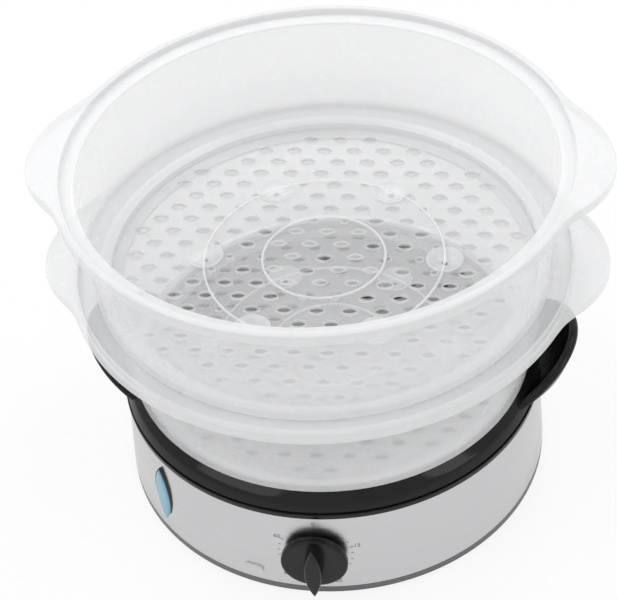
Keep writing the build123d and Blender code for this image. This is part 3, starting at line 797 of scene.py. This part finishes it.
def make_knob():
    back = -knob_high.y
    disc_front = -knob_low.y - GRIP_STAND_OUT
    outline = [
        (0.01, back),
        (KNOB_RADIUS - 0.6, back, 0.4),
        (KNOB_RADIUS, back + 1.0, 0.5),
        (KNOB_RADIUS, disc_front, 1.2),
        (KNOB_RADIUS - 2.4, disc_front, 0.5),
        (0.01, disc_front),
    ]
    disc = turned("knob_disc", outline, 0.3, knob_plastic, 96, 4)
    disc.data.transform(side_frame(0, 0, KNOB_HEIGHT))
    grip = lens_solid("knob_grip", 35.0, 9.0, 6.2, 1.8, knob_plastic, 0.22)
    grip.data.transform(side_frame(0, disc_front, KNOB_HEIGHT))
    knob = join("knob_and_grip", [disc, grip])
    return dress(knob, "knob", "knob_plastic", "timer_knob")


def on_band(x, height, lift):
    """Point on the front of the band, x millimetres round from the middle, lifted off its surface."""
    radius = band_radius(height)
    angle = x / radius
    return (radius + lift) * math.sin(angle), -(radius + lift) * math.cos(angle), height


def make_dial():
    """Minutes round the knob, printed on the band."""
    pieces = []
    for index in range(MARK_COUNT):
        turn = math.radians(index * MARK_MINUTES * DEGREES_PER_MINUTE)
        long_mark = index % 6 == 0
        start = KNOB_RADIUS + 1.3
        end = start + (2.0 if long_mark else 1.1)
        corners = []
        for distance, side in ((start, -1), (start, 1), (end, 1), (end, -1)):
            aside = side * MARK_HALF_WIDTH
            x = distance * math.sin(turn) + aside * math.cos(turn)
            z = distance * math.cos(turn) - aside * math.sin(turn)
            corners.append(on_band(x, KNOB_HEIGHT + z, INK_LIFT))
        pieces.append(mesh_object("dial_mark", corners, [(0, 1, 2, 3)], print_ink))
    for minutes in (0, 15, 30, 45, 60):
        turn = math.radians(minutes * DEGREES_PER_MINUTE)
        text = bpy.data.curves.new("dial_number", "FONT")
        text.body = str(minutes)
        text.size = NUMBER_SIZE * MM
        text.align_x = "CENTER"
        text.align_y = "CENTER"
        mesh = drawn_mesh("dial_number", text)
        distance = KNOB_RADIUS + 5.2
        for vertex in mesh.vertices:
            x = distance * math.sin(turn) + vertex.co.x / MM
            z = KNOB_HEIGHT + distance * math.cos(turn) + vertex.co.y / MM
            vertex.co = Vector(on_band(x, z, INK_LIFT)) * MM
        mesh.materials.clear()
        mesh.materials.append(print_ink)
        pieces.append(linked("dial_number", mesh))
    dial = join("dial_marks", pieces)
    return dress(dial, "base", "knob_plastic")


def make_window():
    place = side_frame(WINDOW_ANGLE, band_radius(WINDOW_HEIGHT) - 3.0, WINDOW_HEIGHT)
    seal_length = WINDOW_LENGTH + 2 * WINDOW_EDGE
    seal_width = WINDOW_WIDTH + 2 * WINDOW_EDGE
    seal = lens_solid("window_edge", seal_length, seal_width, 3.3, 0.35, seal_rubber)
    seal.data.transform(place)
    dress(seal, "base", "seal_rubber", "window_seal")
    pane = lens_solid("window_pane", WINDOW_LENGTH, WINDOW_WIDTH, 3.4, 0.9, window_plastic)
    pane.data.transform(place)
    return dress(pane, "base", "window_plastic", "level_window")


make_ring()
make_handle(1, "right_handle")
make_handle(-1, "left_handle")
make_band()
for which in ("lower", "upper"):
    make_basket(which)
    make_grid(which)
make_knob()
make_dial()
make_window()


# ---- stage: floor, light, camera -----------------------------------------------------------
WHITE_SHARE = 0.85
SKY_STRENGTH = 0.77
FLOOR_HALF_WIDTH = 6000.0
FLOOR_DROP = 0.2


def white_card(name):
    """Matt white that shows as white and keeps a soft shadow of the object."""
    material = new_material(name, (0.9, 0.9, 0.9), 0.9)
    nodes = material.node_tree.nodes
    links = material.node_tree.links
    path = nodes.new("ShaderNodeLightPath")
    sharp = nodes.new("ShaderNodeMath")
    sharp.operation = "MAXIMUM"
    seen = nodes.new("ShaderNodeMath")
    seen.operation = "MAXIMUM"
    share = nodes.new("ShaderNodeMath")
    share.operation = "MULTIPLY"
    share.inputs[1].default_value = WHITE_SHARE
    white = nodes.new("ShaderNodeEmission")
    white.inputs["Color"].default_value = (1, 1, 1, 1)
    white.inputs["Strength"].default_value = 1.0
    mix = nodes.new("ShaderNodeMixShader")
    links.new(path.outputs["Is Glossy Ray"], sharp.inputs[0])
    links.new(path.outputs["Is Transmission Ray"], sharp.inputs[1])
    links.new(path.outputs["Is Camera Ray"], seen.inputs[0])
    links.new(sharp.outputs["Value"], seen.inputs[1])
    links.new(seen.outputs["Value"], share.inputs[0])
    links.new(share.outputs["Value"], mix.inputs["Fac"])
    links.new(nodes["Principled BSDF"].outputs["BSDF"], mix.inputs[1])
    links.new(white.outputs["Emission"], mix.inputs[2])
    links.new(mix.outputs["Shader"], nodes["Material Output"].inputs["Surface"])
    return material


def make_floor():
    half = FLOOR_HALF_WIDTH
    corners = [(-half, -half, 0), (half, -half, 0), (half, half, 0), (-half, half, 0)]
    floor = mesh_object("floor", corners, [(0, 1, 2, 3)], white_card("floor_card"))
    floor.location.z = -FLOOR_DROP * MM


def make_world():
    world = bpy.data.worlds.new("studio")
    world.use_nodes = True
    nodes = world.node_tree.nodes
    background = nodes["Background"]
    background.inputs["Color"].default_value = (1, 1, 1, 1)
    path = nodes.new("ShaderNodeLightPath")
    strength = nodes.new("ShaderNodeMapRange")
    strength.inputs["To Min"].default_value = SKY_STRENGTH
    strength.inputs["To Max"].default_value = 1.0
    world.node_tree.links.new(path.outputs["Is Camera Ray"], strength.inputs["Value"])
    world.node_tree.links.new(strength.outputs["Result"], background.inputs["Strength"])
    bpy.context.scene.world = world


def add_light(name, place, target, size, power):
    """Area light; places and sizes are in metres."""
    lamp = bpy.data.lights.new(name, "AREA")
    lamp.shape = "RECTANGLE"
    lamp.size = size[0]
    lamp.size_y = size[1]
    lamp.energy = power
    holder = linked(name, lamp)
    holder.location = place
    direction = Vector(target) - Vector(place)
    holder.rotation_euler = direction.to_track_quat("-Z", "Y").to_euler()


CAMERA_AZIMUTH = 8.36
CAMERA_DISTANCE = 694.1
CAMERA_HEIGHT = 736.8
CAMERA_YAW = -9.18
CAMERA_PITCH = 42.39
CAMERA_ROLL = -5.14
FOCAL_PIXELS = 1777.0
IMAGE_WIDTH = 617.0
SENSOR = 36.0


def make_camera():
    camera_data = bpy.data.cameras.new("camera")
    camera = linked("camera", camera_data)
    camera_data.sensor_width = SENSOR
    camera_data.lens = FOCAL_PIXELS / IMAGE_WIDTH * SENSOR
    azimuth = math.radians(CAMERA_AZIMUTH)
    x = CAMERA_DISTANCE * math.sin(azimuth)
    y = -CAMERA_DISTANCE * math.cos(azimuth)
    camera.location = Vector((x, y, CAMERA_HEIGHT)) * MM
    yaw = math.radians(CAMERA_YAW)
    pitch = math.radians(CAMERA_PITCH)
    level = math.cos(pitch)
    forward = Vector((math.sin(yaw) * level, math.cos(yaw) * level, -math.sin(pitch)))
    turn = forward.to_track_quat("-Z", "Y").to_matrix().to_4x4()
    camera.rotation_euler = (turn @ Matrix.Rotation(math.radians(CAMERA_ROLL), 4, "Z")).to_euler()
    camera_data.clip_start = 0.01
    camera_data.clip_end = 50
    bpy.context.scene.camera = camera


make_floor()
make_world()
add_light("key_light", (-0.9, -0.7, 1.5), (0, 0, 0.1), (1.0, 1.0), 4.5)
add_light("fill_light", (1.3, -0.5, 1.1), (0, 0, 0.1), (0.5, 1.0), 2.5)
add_light("left_spark", (-0.55, 0.30, 1.20), (0, 0, 0.1), (0.22, 0.32), 2.6)
add_light("right_spark", (0.40, 0.45, 1.25), (0, 0, 0.1), (0.22, 0.32), 2.6)
make_camera()
bpy.context.scene.view_settings.view_transform = "Standard"

bpy.context.view_layer.update()
